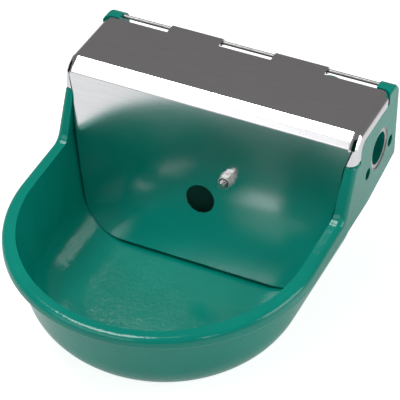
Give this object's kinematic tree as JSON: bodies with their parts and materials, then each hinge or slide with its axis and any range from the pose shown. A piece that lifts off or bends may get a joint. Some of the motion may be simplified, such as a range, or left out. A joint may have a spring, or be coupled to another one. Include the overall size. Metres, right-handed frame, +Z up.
{
  "type": "livestock drinking bowl",
  "caption": "Wall-hung green enamelled iron drinking bowl for livestock, with a hinged stainless cover over its float valve.",
  "frame": {"origin": "centre between the two wall bolt holes, on the wall face", "axes": "X to the right seen from the front, +Y into the wall, +Z up"},
  "size_m": [0.21, 0.2313, 0.1269],
  "materials": {
    "enamel": "gloss enamel on cast iron",
    "cover_steel": "satin stainless sheet",
    "rod_steel": "drawn wire",
    "fastener_steel": "stainless, machined",
    "nylon": "moulded nylon",
    "brass": "cast and turned brass",
    "brass_seat": "turned brass",
    "mesh_steel": "perforated sheet",
    "rubber": "moulded rubber",
    "float_plastic": "moulded plastic"
  },
  "bodies": {
    "bowl": {"bowl_casting": "enamel", "hinge_rod": "rod_steel", "flange_gasket": "rubber", "valve_body": "brass", "seat_nozzle": "brass_seat", "inlet_strainer": "mesh_steel", "flange_screws": "fastener_steel", "flange_washers": "fastener_steel", "flange_nuts": "fastener_steel", "pivot_pin": "fastener_steel", "pivot_clip": "fastener_steel"},
    "cover": {"cover_sheet": "cover_steel", "cover_bolt": "fastener_steel", "cover_nut": "fastener_steel", "cover_nut_ring": "nylon", "cover_washers": "fastener_steel", "latch_bush": "fastener_steel"},
    "latch": {"latch_lever": "cover_steel"},
    "plunger": {"valve_plunger": "brass_seat", "plunger_seal": "rubber"},
    "float": {"float_arm": "brass", "float_stem": "brass_seat", "float_nuts": "brass_seat", "float_upper": "float_plastic", "float_lower": "float_plastic"}
  },
  "joints": [
    {"name": "cover_hinge", "type": "hinge", "parent": "bowl", "child": "cover", "pos_m": [0, -0.0076, 0.01963], "axis": [-1, 0, 0], "range_deg": [0, 95]},
    {"name": "latch_turn", "type": "hinge", "parent": "cover", "child": "latch", "pos_m": [0.0176, -0.0784, -0.029], "axis": [0, 0.9896, -0.1437], "range_deg": [0, 15]},
    {"name": "float_swing", "type": "hinge", "parent": "bowl", "child": "float", "pos_m": [-0.062, -0.031, -0.03], "axis": [0, -1, 0], "range_deg": [0, 15]},
    {"name": "plunger_slide", "type": "slide", "parent": "bowl", "child": "plunger", "axis": [-1, 0, 0], "range_m": [0, 0.00523]}
  ],
  "couplings": [
    {"joint": "plunger_slide", "follows": "float_swing", "m_per_rad": 0.019943}
  ]
}
